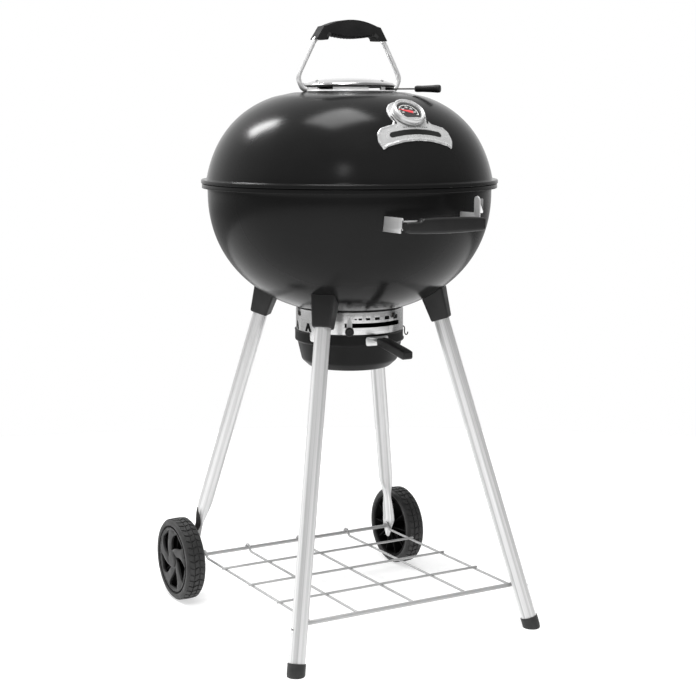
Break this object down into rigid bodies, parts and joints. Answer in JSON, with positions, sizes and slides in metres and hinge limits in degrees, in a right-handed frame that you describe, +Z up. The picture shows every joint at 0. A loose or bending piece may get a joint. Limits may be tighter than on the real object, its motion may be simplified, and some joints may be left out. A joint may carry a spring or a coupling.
{
  "type": "kettle charcoal grill",
  "caption": "Kettle charcoal grill: domed enamel lid with vent and thermometer, round bowl with ash pot, splayed legs, wheels and a wire rack.",
  "frame": {"origin": "centre of the bounding box on the floor; the kettle's axis is 9.8 mm behind it", "axes": "+Z up, -Y to the front with the thermometer and the handles, +X to the right seen from behind"},
  "size_m": [0.61, 0.7204, 1.247],
  "materials": {
    "enamel": "gloss black vitreous enamel",
    "black_plastic": "satin black moulded plastic",
    "rubber": "matt black rubber",
    "chrome": "polished chrome plate",
    "satin_steel": "satin silver plated steel",
    "dark_steel": "blackened steel",
    "dial": "black printed dial",
    "needle": "red lacquer",
    "lens": "clear glass"
  },
  "bodies": {
    "frame": {"bowl": "enamel", "grate_ledge_1": "satin_steel", "grate_ledge_2": "satin_steel", "grate_ledge_3": "satin_steel", "grate_ledge_4": "satin_steel", "leg_socket_front_left": "black_plastic", "leg_socket_front_right": "black_plastic", "leg_socket_rear_left": "black_plastic", "leg_socket_rear_right": "black_plastic", "leg_front_left": "satin_steel", "leg_front_right": "satin_steel", "leg_rear_left": "satin_steel", "leg_rear_right": "satin_steel", "foot_cap_front_left": "rubber", "foot_cap_front_right": "rubber", "axle": "satin_steel", "bottom_rack": "satin_steel", "vent_band": "chrome", "pot_hook_1": "dark_steel", "pot_hook_2": "dark_steel", "pot_hook_3": "dark_steel", "band_clip_1": "dark_steel", "band_clip_2": "dark_steel", "band_clip_3": "dark_steel", "handle_bracket": "satin_steel", "handle_grip": "black_plastic", "handle_tab_bolt": "chrome"},
    "lid": {"lid": "enamel", "vent_housing": "chrome", "vent_cap": "chrome", "bail_wire": "chrome", "bail_hoop": "chrome", "bail_grip": "black_plastic", "badge_plate": "chrome", "thermometer_bezel": "chrome", "thermometer_dial": "dial", "thermometer_lens": "lens", "thermometer_stem": "satin_steel"},
    "lid_damper": {"damper_disc": "satin_steel", "damper_lever": "dark_steel", "damper_grip": "black_plastic"},
    "gauge_needle": {"thermometer_needle": "needle"},
    "cooking_grate": {"cooking_grate": "satin_steel"},
    "charcoal_grate": {"charcoal_grate": "dark_steel"},
    "ash_sweeper": {"sweeper_blades": "dark_steel", "sweeper_lever": "satin_steel", "sweeper_knob": "black_plastic"},
    "ash_pot": {"ash_pot": "enamel", "pot_handle_bracket": "satin_steel", "pot_grip": "black_plastic"},
    "wheel_left": {"wheel_left": "black_plastic", "tyre_left": "rubber"},
    "wheel_right": {"wheel_right": "black_plastic", "tyre_right": "rubber"}
  },
  "joints": [
    {"name": "lid_lift", "type": "slide", "parent": "frame", "child": "lid", "axis": [0, 0, 1], "range_m": [0, 0.3]},
    {"name": "lid_damper_turn", "type": "hinge", "parent": "lid", "child": "lid_damper", "pos_m": [0, 0.0098, 1.104], "axis": [0, 0, 1], "range_deg": [-45, 0]},
    {"name": "gauge_needle_turn", "type": "hinge", "parent": "lid", "child": "gauge_needle", "pos_m": [0, -0.21921, 1.06347], "axis": [0, -0.6396, 0.7687], "range_deg": [-170, 35]},
    {"name": "cooking_grate_lift", "type": "slide", "parent": "frame", "child": "cooking_grate", "axis": [0, 0, 1], "range_m": [0, 0.05]},
    {"name": "charcoal_grate_lift", "type": "slide", "parent": "frame", "child": "charcoal_grate", "axis": [0, 0, 1], "range_m": [0, 0.12]},
    {"name": "ash_sweeper_turn", "type": "hinge", "parent": "frame", "child": "ash_sweeper", "pos_m": [0, 0.0098, 0.635], "axis": [0, 0, 1], "range_deg": [0, 60]},
    {"name": "ash_pot_drop", "type": "slide", "parent": "frame", "child": "ash_pot", "axis": [0, 0, -1], "range_m": [0, 0.12]},
    {"name": "wheel_left_spin", "type": "hinge", "parent": "frame", "child": "wheel_left", "pos_m": [-0.2775, 0.2702, 0.09], "axis": [1, 0, 0], "continuous": true},
    {"name": "wheel_right_spin", "type": "hinge", "parent": "frame", "child": "wheel_right", "pos_m": [0.2775, 0.2702, 0.09], "axis": [1, 0, 0], "continuous": true}
  ]
}
